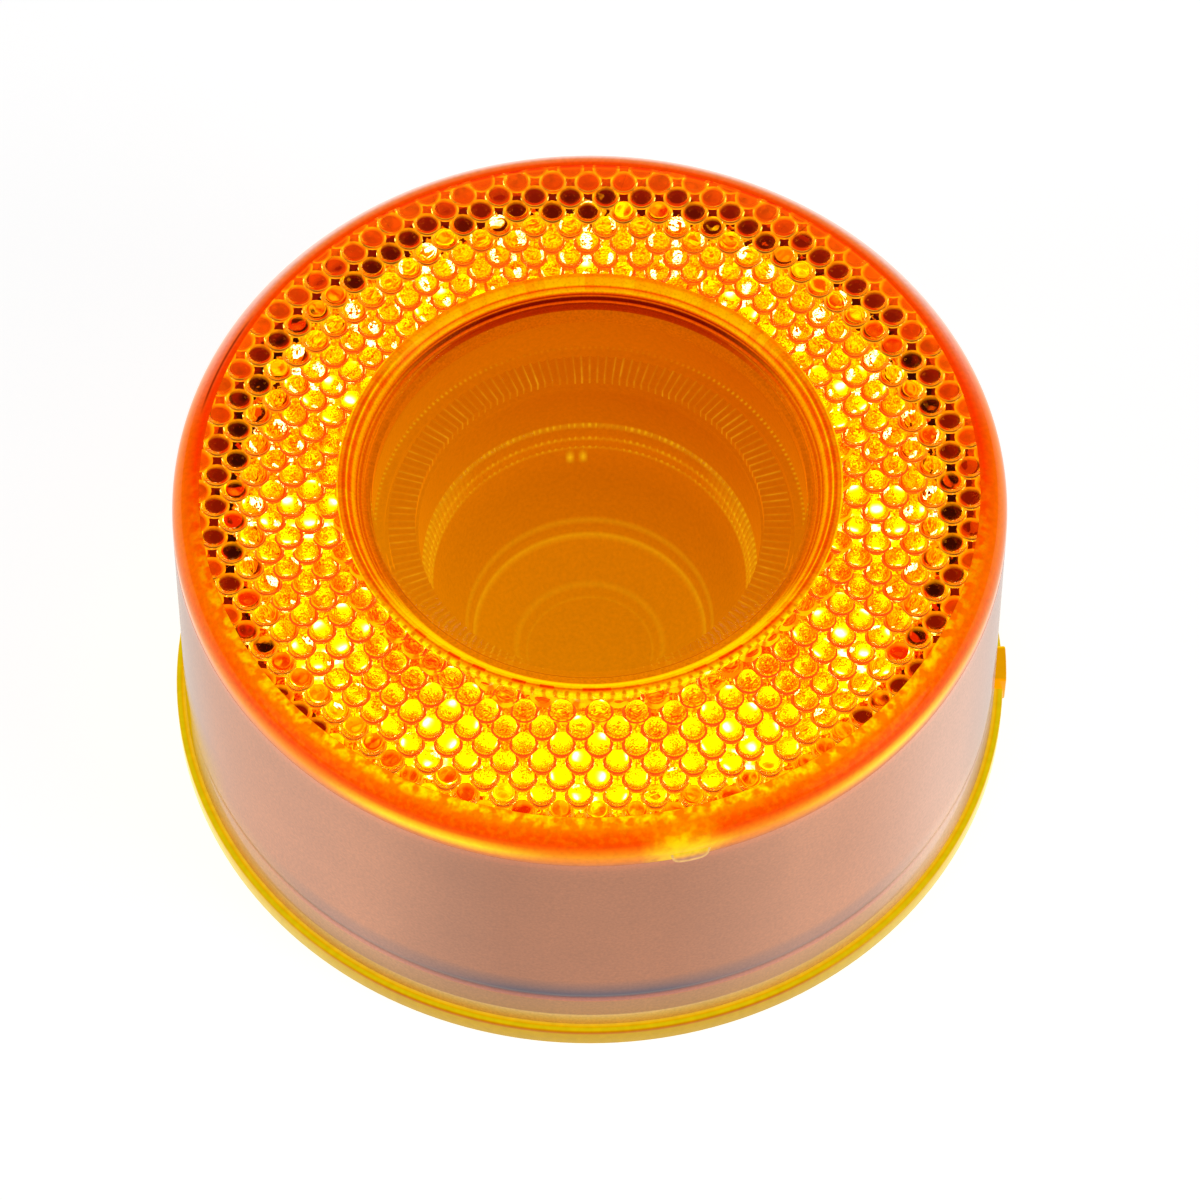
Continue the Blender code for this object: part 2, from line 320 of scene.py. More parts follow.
def srgb(red, green, blue):
    """A colour given as the screen shows it, 0 to 255, in linear light."""
    linear = []
    for part in (red, green, blue):
        part /= 255
        linear.append(part / 12.92 if part <= 0.04045 else ((part + 0.055) / 1.055) ** 2.4)
    return tuple(linear)


def grey(level):
    """A grey in linear light."""
    return (level, level, level)


BLACK = grey(0.0)
WHITE = grey(1.0)


def glowing(name, base, roughness, specular, tint=WHITE):
    """A look whose colour is nearly all its own light, with a tinted gloss over a dark base."""
    return Look(name, base_color=base, roughness=roughness, specular_ior_level=specular,
                specular_tint=tint)


def bead_look():
    """Clear amber plastic: the inside shows through the domes, and their steep edges carry light."""
    look = Look(
        "amber_bead_plastic", base_color=(1.0, 0.75, 0.1), roughness=0.0, transmission_weight=1.0,
        ior=1.56, specular_tint=(1.0, 0.3, 0.0),
    )
    y, z, radius = look.axes("y z radius")
    inside = look.between(z, BEAD_SEAT + 0.3, BEAD_SEAT + 0.1)
    lit_zone = look.between(look.add(radius, look.times(y, 0.06)), 25.6, 23.6, 0.06, 1.0)
    body = look.ramp(look.times(lit_zone, inside), [(0.0, BLACK), (1.0, (0.42, 0.018, 0.0))])
    steep = look.between(z, BEAD_SEAT - 0.31, BEAD_SEAT - 0.11)
    not_flat = look.between(z, BEAD_SEAT - 0.005, BEAD_SEAT - 0.03)
    streaks = look.grain(0.7, 0.5, 1.0, spread=0.15)
    edge = look.times(steep, not_flat, streaks)
    edge_colour = look.blend(lit_zone, (1.3, 0.45, 0.0), (0.78, 0.05, 0.0))
    look.glow(look.blend(edge, body, edge_colour))
    look.bump(look.noise(0.8, detail=2.0), 0.02, 0.5)
    return look


def rim_look():
    """The rounded rim, which carries light from inside, and gives it off yellow at its lower edge."""
    look = glowing("glowing_rim", (0.03, 0.004, 0.0), 0.12, 0.25, (1.0, 0.3, 0.0))
    y, z, radius, angle = look.axes("y z radius angle")
    run = look.math("DIVIDE", look.minus(radius, RIM_INNER), WALL_TOP - RIM_INNER)
    rise = look.math("DIVIDE", look.minus(z, RIM_START), HEIGHT - RIM_START)
    turn = look.math("ARCTAN2", rise, run)
    across = look.between(turn, math.radians(90), math.radians(-20))
    # The pale tones on the outer curve, pinkish over much of it at the back, are a painted reflection of
    # the white surroundings.
    front = look.tones(across, [
        (0.0, 254, 120, 0), (0.16, 254, 128, 0), (0.25, 254, 112, 0), (0.38, 254, 82, 0),
        (0.53, 250, 72, 0), (0.65, 250, 124, 0), (0.74, 250, 150, 0), (0.82, 246, 140, 10),
        (0.88, 238, 132, 25), (0.95, 214, 124, 58), (1.0, 200, 124, 84),
    ])
    sides = look.tones(across, [
        (0.0, 240, 60, 0), (0.08, 250, 50, 0), (0.2, 246, 78, 0), (0.35, 248, 106, 0),
        (0.45, 244, 124, 0), (0.55, 238, 122, 6), (0.65, 206, 112, 40), (0.75, 176, 100, 56),
        (1.0, 176, 108, 70),
    ])
    back = look.tones(across, [
        (0.0, 240, 60, 0), (0.07, 246, 74, 0), (0.17, 244, 128, 64), (0.29, 238, 184, 166),
        (0.41, 235, 196, 182), (0.54, 236, 198, 186), (0.65, 238, 162, 130),
        (0.74, 240, 126, 56), (0.82, 240, 80, 0), (1.0, 240, 80, 0),
    ])
    sides = look.blend(look.between(y, 4.0, 22.0, smooth=True), sides, back)
    # A dark red streak runs along the rim at the left, and widens as it goes.
    streak_from, streak_to = math.radians(150), math.radians(168)
    streak_at = look.between(angle, streak_from, streak_to, 0.12, 0.17)
    off_middle = look.absolute(look.minus(angle, (streak_from + streak_to) / 2))
    streak = look.times(look.line(across, streak_at, 0.035), look.between(off_middle, 0.17, 0.1))
    sides = look.blend(look.times(streak, 0.9), sides, srgb(110, 20, 0))
    # At the front the rim's inner edge is blotched with yellow, and its middle speckled with orange.
    blotches = look.grain(0.9, 0.0, 1.0, spread=0.08, detail=2.0)
    front = look.blend(look.times(blotches, look.between(across, 0.26, 0.12)), front, srgb(254, 228, 0))
    speckle = look.between(look.noise(0.5, detail=3.0), 0.42, 0.62, 0.0, 0.55)
    front = look.blend(look.times(speckle, look.between(across, 0.6, 0.3)), front, srgb(254, 132, 0))
    # Yellow light runs along the lower edge in three places, and above the gate over the whole rim.
    beside_gate = look.line(angle, GATE_ANGLE, 0.12)
    yellow_run = look.line(angle, math.radians(-112), 0.3, 1.6)
    right_run = look.times(look.line(angle, math.radians(-42), 0.4, 1.6), 0.75)
    glow_share = look.capped(look.add(beside_gate, yellow_run, right_run))
    front = look.blend(look.times(glow_share, look.line(across, 0.76, 0.16)), front, srgb(254, 226, 10))
    over_gate = look.line(angle, GATE_ANGLE - math.radians(1), 0.1, 1.3)
    above_gate = look.times(over_gate, look.between(across, 0.2, 0.6))
    above_gate = look.times(above_gate, look.between(blotches, 0.0, 1.0, 0.5, 1.0))
    front = look.blend(above_gate, front, srgb(254, 210, 0))
    to_front = look.between(y, 4.0, -24.0, smooth=True)
    inner_wall = look.between(z, BEAD_SEAT, HEIGHT)
    wall_colour = look.tones(inner_wall, [(0.0, 246, 92, 0), (0.5, 236, 50, 0), (1.0, 236, 40, 0)])
    on_wall = look.between(radius, RIM_INNER, RIM_INNER + 0.03, 1.0, 0.0)
    grain = look.grain(0.35, 0.92, 1.08, detail=4.0)
    outside = look.blend(to_front, sides, front)
    look.glow(look.blend(on_wall, outside, wall_colour), grain)
    look.bump(look.noise(1.5), 0.02, 0.3)
    return look


def wall_look():
    """The clear wall over the satin skirt, which ends in a soft dark line above the plain base band."""
    look = Look("clear_wall_over_satin", roughness=0.42, coat_roughness=0.06)
    x, y, z = look.axes("x y z")
    low, high = FLANGE_HEIGHT, 8.2
    satin = (184, 113, 68)
    bands = [
        (low, 234, 194, 104), (3.2, 232, 190, 100), (3.3, 186, 132, 68), (5.15, 186, 128, 71),
        (5.25, 200, 124, 66), (5.4, 194, 112, 84), (5.75, 180, 106, 84), (5.95, 92, 74, 88),
        (6.25, 84, 70, 88), (7.0, 140, 94, 78), (high, *satin),
    ]
    mottle = look.grain(0.22, 0.88, 1.12, spread=0.25, detail=5.0)
    drift = look.grain(9.0, 0.95, 1.05, detail=2.0)
    level = look.between(z, low, high)
    away = look.absolute(x)
    banded = look.tones(level, bands, low, high)
    fading = look.times(look.between(away, 5.0, 14.0, 0.0, 0.5), look.line(z, 6.5, 1.0))
    banded = look.blend(fading, banded, srgb(*satin))
    # Towards the sides the bands take on a little painted reflection.
    banded = look.blend(look.between(away, 6.0, 15.0, 0.0, 0.16), banded, srgb(250, 190, 150))
    # Away from the front the wall is paler with painted reflection and light, yellower low at the left
    # and lighter and pinker at the right, where painted light falls from that side.
    pale_left = look.tones(level, [(0.0, 248, 184, 96), (1.0, 212, 134, 80)])
    pale_right = look.tones(level, [(0.0, 244, 206, 180), (1.0, 214, 160, 128)])
    pale = look.blend(look.between(x, -8.0, 8.0), pale_left, pale_right)
    pale = look.blend(look.between(away, 27.5, 30.7), pale, srgb(176, 132, 108))
    colour = look.blend(look.between(y, -16.0, -25.0, smooth=True), pale, banded)
    # Low on the left, light from inside turns the wall a deep yellow.
    yellow = look.times(look.between(x, -27.0, -30.2), look.between(z, 11.5, 7.5))
    colour = look.blend(yellow, colour, srgb(252, 198, 10))
    look.set("Coat Weight", look.between(yellow, 0.0, 1.0, 0.45, 0.0))
    look.set("Metallic", look.between(yellow, 0.0, 1.0, 0.5, 0.0))
    look.set("Specular IOR Level", look.between(yellow, 0.0, 1.0, 0.5, 0.0))
    # Above the base band painted light makes it lightest at the left front, and a little lighter at the
    # right.
    lighter = look.add(
        look.between(x, -10.0, -17.0, 1.0, 1.3),
        look.between(x, -19.0, -26.0, 0.0, -0.2),
        look.between(x, 9.0, 15.0, 0.0, 0.17),
    )
    lighter = look.between(level, 0.25, 0.6, 1.0, lighter)
    shade = look.node("ShaderNodeCombineColor")
    for socket in shade.inputs:
        look.feed(look.times(mottle, drift, lighter), socket)
    look.set("Base Color", look.blend(1.0, colour, shade.outputs[0], "MULTIPLY"))
    # Near the top the rim's light spills onto the wall as a painted glow.
    spill = look.between(z, RIM_START - 3.0, RIM_LOWEST, smooth=True)
    look.glow(look.tones(spill, [(0.0, 0, 0, 0), (0.7, 50, 20, 8), (1.0, 110, 50, 20)]))
    look.bump(look.noise(0.2, detail=4.0), 0.01, 0.4)
    return look


def gate_look():
    """The gate's trace: yellow against the rim, with a glowing outline round the wall's own colour."""
    look = glowing("gate_trace", (0.08, 0.04, 0.02), 0.5, 0.1)
    z, angle = look.axes("z angle")
    side = look.math("DIVIDE", look.minus(angle, GATE_ANGLE), GATE_HALF)
    level = look.between(z, GATE_TOP, GATE_TOP - GATE_DROP)
    outward = look.add(look.math("POWER", look.absolute(side), 4.0), look.times(level, level))
    inside = look.tones(level, [(0.0, 254, 214, 20), (0.3, 250, 180, 50), (0.6, 206, 140, 104)])
    outline = look.line(outward, 0.72, 0.26, 1.3)
    grain = look.grain(0.4, 0.75, 1.05)
    look.glow(look.blend(look.capped(outline), inside, srgb(238, 190, 110)), grain)
    return look


def flange_look():
    """The clear amber foot, which gathers light along its edges, and is more yellow at the sides."""
    look = glowing("amber_flange", (0.05, 0.03, 0.0), 0.2, 0.3, (1.0, 0.7, 0.0))
    x, z, radius = look.axes("x z radius")
    away = look.between(look.absolute(x), 14.0, 28.0)
    grain = look.grain(0.6, 0.93, 1.07, detail=4.0)
    level = look.between(z, 0.0, FLANGE_HEIGHT)
    front = look.tones(level, [
        (0.0, 180, 142, 0), (0.2, 192, 150, 0), (0.78, 196, 152, 0), (0.86, 190, 104, 0),
        (0.93, 192, 104, 0), (1.0, 220, 160, 0),
    ])
    side = look.tones(level, [(0.0, 206, 176, 4), (0.4, 216, 186, 6), (1.0, 222, 178, 0)])
    across = look.between(radius, WALL_BASE, FLANGE_RADIUS - 0.2)
    top = look.tones(across, [
        (0.0, 228, 176, 44), (0.4, 234, 178, 10), (0.55, 226, 160, 0), (0.68, 214, 176, 4),
        (1.0, 214, 184, 8),
    ])
    on_top = look.between(z, FLANGE_HEIGHT - 0.05, FLANGE_HEIGHT)
    look.glow(look.blend(on_top, look.blend(away, front, side), top), grain)
    return look


def tab_look():
    """The index tab: the flange's amber, with painted light that leaves it orange on top and brighter
    where its end faces the front.
    """
    look = glowing("amber_tab", (0.05, 0.03, 0.0), 0.2, 0.3, (1.0, 0.5, 0.0))
    [angle] = look.axes("angle")
    grain = look.grain(0.5, 0.95, 1.05, detail=4.0)
    near_end = look.between(angle, TAB_START + 0.006, TAB_START + 0.003)
    far_end = look.between(angle, TAB_END - 0.009, TAB_END - 0.005)
    colour = look.blend(near_end, srgb(226, 152, 0), srgb(254, 160, 0))
    look.glow(look.blend(far_end, colour, srgb(254, 196, 0)), grain)
    return look


def window_border_look():
    """The window's plain border and countersink: thin bright and dark rings of light, and mottled light
    between them.
    """
    look = glowing("window_border", (0.03, 0.008, 0.0), 0.15, 0.1, (1.0, 0.4, 0.0))
    y, z, radius, angle = look.axes("y z radius angle")
    scale = (CONE_FOOT - 0.1, COLLAR_OUTER)
    across = look.between(radius, *scale)
    back = look.tones(across, [
        (16.5, 175, 40, 0), (16.62, 150, 12, 0), (16.72, 120, 6, 0), (16.8, 236, 90, 0),
        (16.87, 226, 66, 0), (16.94, 112, 4, 0), (17.07, 120, 6, 0), (17.14, 240, 92, 0),
        (17.21, 165, 20, 0), (17.28, 235, 75, 0), (17.38, 254, 185, 0), (17.52, 254, 160, 0),
        (17.6, 245, 80, 0), (17.7, 254, 190, 0), (17.9, 254, 180, 0), (18.15, 254, 175, 0),
        (18.3, 252, 142, 0), (18.55, 254, 140, 0),
    ], *scale)
    sides = look.tones(across, [
        (16.5, 220, 95, 0), (16.62, 226, 104, 0), (16.72, 238, 112, 0), (16.82, 217, 78, 0),
        (16.93, 224, 92, 0), (17.0, 245, 125, 0), (17.1, 218, 70, 0), (17.18, 240, 110, 0),
        (17.3, 254, 152, 0), (17.42, 254, 172, 0), (17.52, 246, 108, 0), (17.65, 236, 84, 0),
        (17.75, 250, 116, 0), (17.83, 254, 205, 0), (17.92, 244, 100, 0), (18.08, 226, 78, 0),
        (18.25, 248, 140, 0), (18.4, 250, 125, 0), (18.48, 254, 220, 0), (18.55, 254, 205, 0),
    ], *scale)
    front = look.tones(across, [
        (16.5, 228, 122, 0), (16.62, 240, 142, 0), (16.75, 254, 190, 0), (16.95, 254, 214, 0),
        (17.4, 254, 216, 0), (17.55, 254, 180, 0), (17.65, 254, 208, 0), (17.9, 254, 190, 0),
        (18.02, 240, 100, 0), (18.12, 254, 140, 0), (18.3, 254, 190, 0), (18.45, 254, 245, 8),
        (18.55, 254, 236, 0),
    ], *scale)
    under_seat = look.math("MAXIMUM", look.between(z, SEAT_HEIGHT - 0.05, SEAT_HEIGHT - 0.1),
                           look.between(radius, CONE_FOOT - 0.15, CONE_FOOT - 0.25))
    sides = look.blend(under_seat, sides, srgb(206, 94, 0))
    back = look.blend(under_seat, back, srgb(205, 92, 0))
    colour = look.blend(look.between(y, 7.0, 14.5, smooth=True), sides, back)
    colour = look.blend(look.between(y, -7.0, -13.5, smooth=True), colour, front)
    # Sectors round the axis darken the glow in blocks on the outer border, and broad ones on the cone's
    # front.
    outer_part = look.between(radius, 17.3, 17.5)
    shade = look.between(look.chance(angle, 150.0), 0.0, 1.0, 1.0, 0.4)
    fine_share = look.times(outer_part, look.between(y, -12.0, -16.0, 0.85, 0.5))
    dark = look.ramp(shade, [(0.0, (1.0, 0.3, 0.1)), (1.0, WHITE)])
    colour = look.blend(1.0, colour, look.blend(fine_share, WHITE, dark), "MULTIPLY")
    broad = look.between(look.chance(angle, 110.0, seed=20.0), 0.5, 0.6, 1.0, 0.5)
    cone_front = look.times(look.between(y, -9.0, -14.0, 0.0, 0.85), look.line(radius, 17.98, 0.3, 1.6))
    darker = look.ramp(broad, [(0.5, (1.0, 0.22, 0.0)), (1.0, WHITE)])
    colour = look.blend(1.0, colour, look.blend(cone_front, WHITE, darker), "MULTIPLY")
    # At the front the outer edge is a row of small bright blocks with darker gaps.
    gaps = look.times(look.around(angle, 140, sharp=4.0), look.line(radius, 18.45, 0.3, 2.5))
    gaps = look.times(look.capped(gaps), look.between(y, -8.0, -12.0, 0.0, 0.8))
    colour = look.blend(gaps, colour, srgb(238, 96, 0))
    grain = look.grain(0.18, 0.85, 1.15)
    look.glow(colour, grain)
    return look


def tray_look():
    """The tray under the beads: streaky light round each LED, and an unlit ledge near its edge."""
    look = glowing("lit_tray", (0.01, 0.001, 0.0), 0.5, 0.0)
    y, radius, angle = look.axes("y radius angle")
    near_led = look.around(angle, LED_COUNT)
    ring = look.line(radius, LED_CIRCLE, 4.6)
    amount = look.times(look.add(ring, 0.15), look.add(look.times(near_led, 0.45), 0.65))
    swirl = look.grain(0.6, -0.5, 0.36, spread=0.16, detail=4.0, distortion=2.0)
    at_front = look.between(y, -13.0, -20.0)
    front_edge = look.times(look.between(radius, 23.5, 25.0, 0.3, 0.36), at_front)
    back_edge = look.times(look.between(radius, 23.6, 24.8), look.between(y, 6.0, 16.0, 0.0, 0.3))
    amount = look.add(amount, swirl, front_edge, back_edge)
    lit = look.ramp(amount, [
        (0.0, (0.9, 0.025, 0.0)), (0.25, (1.0, 0.1, 0.0)), (0.5, (1.2, 0.32, 0.0)),
        (0.75, (1.5, 0.75, 0.0)), (1.0, (3.0, 1.9, 0.0)),
    ])
    # The pocket walls that face the axis catch the LEDs, hottest beside each one.
    far_wall = look.times(look.between(radius, 23.7, 24.2), look.between(radius, 25.7, 25.3))
    hot = look.times(far_wall, look.around(angle, LED_COUNT * 2, sharp=6.0))
    lit = look.blend(look.times(far_wall, look.between(swirl, -0.2, 0.2, 0.1, 0.7)), lit, (2.0, 1.1, 0.0))
    glint = look.between(look.times(hot, look.between(swirl, -0.2, 0.1)), 0.44, 0.5)
    lit = look.blend(glint, lit, (9.0, 8.0, 18.0))
    # The unlit shade on the ledge has ragged edges, and its inner one moves out towards the back and the
    # front.
    ragged = look.grain(0.9, -0.7, 0.7, spread=0.18, detail=1.0)
    further_out = look.add(
        look.between(y, 2.0, 20.0, 0.0, 0.5),
        look.between(y, -4.0, -19.0, 0.0, 1.5),
        look.between(y, -20.0, -21.5, 0.0, 3.0),
    )
    inner_edge = look.minus(look.add(radius, ragged), further_out)
    outer_edge = look.add(radius, look.times(ragged, 0.4))
    ledge = look.between(inner_edge, LEDGE_INNER - 0.05, LEDGE_INNER + 0.05)
    ledge_colour = look.blend(look.between(y, 14.0, 22.0), (0.004, 0.0, 0.0), (0.1, 0.002, 0.0))
    beyond = look.between(outer_edge, LEDGE_OUTER - 0.1, LEDGE_OUTER + 0.1)
    ledge_colour = look.blend(beyond, ledge_colour, (0.22, 0.006, 0.0))
    look.glow(look.blend(ledge, lit, ledge_colour))
    return look


def led_look():
    """A lit LED: yellow all over, with a white-hot middle."""
    look = glowing("lit_led", (0.3, 0.2, 0.0), 0.6, 0.0)
    radius, angle = look.axes("radius angle")
    hot = look.times(look.around(angle, LED_COUNT, sharp=60.0), look.line(radius, LED_CIRCLE, 1.2, 1.6))
    spread = look.grain(0.6, 0.8, 1.2)
    look.glow(look.blend(look.capped(hot), (3.0, 1.8, 0.0), (12.0, 10.0, 16.0)), spread)
    return look


def inner_skirt_look():
    """The skirt's inner side: orange by the lit rim, dark red in shade below, and faceted at the front.
    """
    look = glowing("dim_inner_wall", (0.01, 0.0, 0.0), 0.5, 0.0)
    y, z = look.axes("y z")
    level = look.between(z, LEDGE_TOP, SKIRT_TOP)
    grain = look.grain(0.5, 0.7, 1.3, detail=4.0)
    dim = look.ramp(level, [(0.0, (0.4, 0.01, 0.0)), (0.25, (0.8, 0.06, 0.0)), (1.0, (1.0, 0.13, 0.0))])
    facets = look.ramp(look.noise(0.8, detail=2.0), [(0.4, (0.9, 0.06, 0.0)), (0.6, (1.4, 0.5, 0.0))])
    look.glow(look.blend(look.between(y, -15.0, -21.0), dim, facets), grain)
    return look


def tunnel_look():
    """The metallised funnel, glowing with a painted reflection of the amber light: fine grain, and thin
    painted highlights at its steps.
    """
    look = glowing("tunnel_metallised", (0.02, 0.005, 0.0), 0.4, 0.1)
    x, y, z, radius, angle = look.axes("x y z radius angle")
    depth = look.between(z, FUNNEL_TOP, FUNNEL_BOTTOM)
    colour = look.tones(depth, [
        (0.0, 210, 90, 0), (0.12, 214, 95, 0), (0.2, 200, 82, 0), (0.38, 206, 92, 0),
        (0.45, 216, 98, 0), (0.6, 202, 92, 0), (0.78, 206, 98, 0), (0.84, 216, 112, 0),
        (1.0, 208, 110, 0),
    ])
    # Painted light makes it lighter towards the front and the left.
    lit_side = look.between(y, 12.0, -12.0)
    left = look.between(x, 12.0, -16.0, 0.0, 0.5)
    colour = look.blend(look.times(look.add(lit_side, left), 0.55), colour, srgb(238, 146, 0))
    # The ribbed step halfway down, with painted highlights at both sides, and a dashed painted highlight
    # line at each of its edges.
    step_band = look.times(look.between(z, RIBS_FROM - 0.1, RIBS_FROM + 0.1),
                           look.between(z, RIBS_TO, RIBS_TO - 0.2))
    ribs = look.between(look.around(angle, FLUTES), 0.0, 1.0, 0.35, 0.7)
    band_glow = look.times(step_band, ribs, look.between(look.absolute(x), 8.5, 12.0))
    dashes = look.between(look.chance(angle, FLUTES * 1.0, seed=7.0), 0.15, 0.6)
    beads = look.around(angle, FLUTES, sharp=2.0)
    edges = look.add(
        look.line(z, RIBS_TO, 0.3),
        look.line(z, RIBS_FROM + 0.1, 0.16, 0.7),
        look.line(z, 15.5, 0.25, 0.8),
    )
    lines = look.times(edges, look.between(look.times(dashes, beads), 0.0, 0.8, 0.3, 1.0))
    # Faint painted highlight rings lower down, two painted glints of the lights at the back, and painted
    # highlight dots in the mouth's corner.
    lower = look.add(look.line(z, 8.3, 0.35, 0.22), look.line(z, 7.1, 0.3, 0.35))
    lowest = look.add(look.line(z, 5.0, 0.2, 0.16), look.line(radius, 4.8, 0.15, 0.1))
    twin = look.add(*[look.line(angle, math.radians(place), 0.035) for place in (92.5, 97.5)])
    glints = look.times(twin, look.line(z, 13.9, 0.6))
    corner = look.times(look.line(radius, 15.9, 0.18), look.line(z, 22.0, 0.25))
    at_sides = look.between(look.absolute(x), 6.0, 11.0, 0.1, 0.6)
    dots = look.times(corner, look.around(angle, 220, sharp=2.0), at_sides)
    bright = look.add(look.times(band_glow, 0.6), look.times(lines, 0.75), lower, lowest, dots, glints)
    bright = look.capped(bright)
    colour = look.blend(bright, colour, srgb(254, 186, 16))
    grain = look.grain(0.3, 0.86, 1.0, spread=0.25, detail=6.0)
    look.glow(colour, grain)
    return look


def window_look():
    """The clear window disc, so thin-bodied that it only tints and glints."""
    look = Look(
        "clear_window", base_color=(1.0, 0.97, 0.9), roughness=0.0, transmission_weight=1.0, ior=1.05,
        specular_tint=(1.0, 0.5, 0.1),
    )
    [radius] = look.axes("radius")
    # A faint painted glow runs round its edge.
    edge = look.between(radius, WINDOW_EDGE - 0.12, WINDOW_EDGE - 0.04)
    look.glow(look.tones(edge, [(0.0, 0, 0, 0), (1.0, 64, 24, 0)]))
    look.bump(look.noise(6.0, detail=1.0), 0.01, 0.2)
    return look


def flute_look():
    """The fluted light ring: the funnel's orange, lighter with painted light on one side, and a fine
    painted highlight along each flute.
    """
    look = glowing("fluted_guide", (0.02, 0.008, 0.0), 0.2, 0.1)
    x, y, radius, angle = look.axes("x y radius angle")
    lit_side = look.between(look.minus(y, look.times(x, -0.4)), 14.0, -14.0)
    colour = look.blend(lit_side, srgb(204, 92, 0), srgb(220, 122, 0))
    crest = look.around(angle, FLUTES, sharp=6.0)
    glint = look.between(look.chance(angle, FLUTES * 1.0), 0.1, 1.0, 0.15, 0.75)
    streak = look.grain(1.1, 0.3, 1.0, spread=0.15, detail=2.0)
    inner_share = look.between(radius, 14.9, 13.4, 0.5, 1.0)
    bright = look.times(crest, glint, streak, inner_share)
    look.glow(look.blend(bright, colour, srgb(250, 176, 24)), look.grain(0.3, 0.92, 1.0))
    return look


# ---------------------------------------------------------------- pieces

def dome_depth(distance):
    """How far a bead hangs below its seat, at a distance from its middle."""
    if distance >= BEAD_RADIUS:
        return 0.0
    curve = (BEAD_RADIUS ** 2 + BEAD_RISE ** 2) / (2 * BEAD_RISE)
    return math.sqrt(curve ** 2 - distance ** 2) - (curve - BEAD_RISE)


def bead_cells():
    """The middles of the beads whose cells touch the bead ring."""
    half = BEAD_PITCH / 2
    reach = int(RIM_INNER / half) + 2
    for across in range(-reach, reach + 1):
        for along in range(-reach, reach + 1):
            if (across + along) % 2:
                continue
            x = BEAD_PHASE[0] + half * (across * math.cos(BEAD_TURN) - along * math.sin(BEAD_TURN))
            y = BEAD_PHASE[1] + half * (across * math.sin(BEAD_TURN) + along * math.cos(BEAD_TURN))
            if COLLAR_OUTER - half < math.hypot(x, y) < RIM_INNER + half:
                yield x, y


def add_bead(builder, centre_x, centre_y):
    """One lattice cell: a dome hanging from its seat, out to the cell's four edges."""
    spokes, shares = 24, (0.2, 0.4, 0.6, 0.78, 0.9, 1.0)
    middle = builder.verts.new((centre_x, centre_y, BEAD_SEAT - BEAD_RISE))
    rows = []
    for spoke in range(spokes):
        angle = math.tau * spoke / spokes
        edge = BEAD_PITCH / 2 / (abs(math.cos(angle)) + abs(math.sin(angle)))
        dome = min(BEAD_RADIUS, edge)
        row = []
        for distance in [share * dome for share in shares] + [edge]:
            x = centre_x + distance * math.cos(angle + BEAD_TURN)
            y = centre_y + distance * math.sin(angle + BEAD_TURN)
            row.append(builder.verts.new((x, y, BEAD_SEAT - dome_depth(distance))))
        rows.append(row)
    for spoke in range(spokes):
        row, following = rows[spoke], rows[(spoke + 1) % spokes]
        builder.faces.new((middle, row[0], following[0]))
        for step in range(len(shares)):
            builder.faces.new((row[step], row[step + 1], following[step + 1], following[step]))


def lift_open_edges(builder, height, inner, outer):
    """Extends the open edges up to a height, and spreads them to the ring's two radii."""
    open_edges = [edge for edge in builder.edges if edge.is_boundary]
    lifted = bmesh.ops.extrude_edge_only(builder, edges=open_edges)
    middle = (inner + outer) / 2
    for item in lifted["geom"]:
        if isinstance(item, bmesh.types.BMVert):
            distance = math.hypot(item.co.x, item.co.y)
            wanted = inner if distance < middle else outer
            item.co.x *= wanted / distance
            item.co.y *= wanted / distance
            item.co.z = height


def make_bead_ring():
    """The beaded annulus as one closed clear solid: a flat face on top and domes underneath."""
    builder = bmesh.new()
    weld = 0.003  # corners of neighbouring cells this close are one
    tuck = 0.15  # how far it reaches into the rim and the window border
    inner, outer = COLLAR_OUTER - tuck, RIM_INNER + tuck
    for centre_x, centre_y in bead_cells():
        add_bead(builder, centre_x, centre_y)
    bmesh.ops.remove_doubles(builder, verts=builder.verts, dist=weld)
    outside = []
    for face in builder.faces:
        distances = [math.hypot(v.co.x, v.co.y) for v in face.verts]
        if min(distances) >= outer or max(distances) <= inner:
            outside.append(face)
    bmesh.ops.delete(builder, geom=outside, context="FACES")
    for vertex in builder.verts:
        distance = math.hypot(vertex.co.x, vertex.co.y)
        if not inner <= distance <= outer:
            factor = min(max(distance, inner), outer) / distance
            vertex.co.x *= factor
            vertex.co.y *= factor
    bmesh.ops.remove_doubles(builder, verts=builder.verts, dist=weld)
    lift_open_edges(builder, HEIGHT - tuck, inner, outer)
    lift_open_edges(builder, HEIGHT, COLLAR_OUTER, RIM_INNER)
    bmesh.ops.bridge_loops(builder, edges=[edge for edge in builder.edges if edge.is_boundary])
    bmesh.ops.recalc_face_normals(builder, faces=builder.faces)
    if builder.calc_volume(signed=True) < 0:
        bmesh.ops.reverse_faces(builder, faces=builder.faces)
    make_piece("lens_bead_ring", builder, bead_look(), "lens", smooth_angle=50.0)


def make_rim():
    """The rounded rim, down to where the wall's satin begins."""
    clear = 0.1  # between the rim and the skirt under it
    rim = arc_points((RIM_INNER, RIM_START), WALL_TOP - RIM_INNER, HEIGHT - RIM_START, 0, 90, 24)
    outline = [
        (SKIRT_RADIUS + clear, RIM_LOWEST), (WALL_TOP, RIM_LOWEST), *rim,
        (RIM_INNER, SKIRT_TOP + clear), (SKIRT_RADIUS + clear, SKIRT_TOP + clear),
    ]
    make_piece("lens_rim", lathe(outline), rim_look(), "lens")


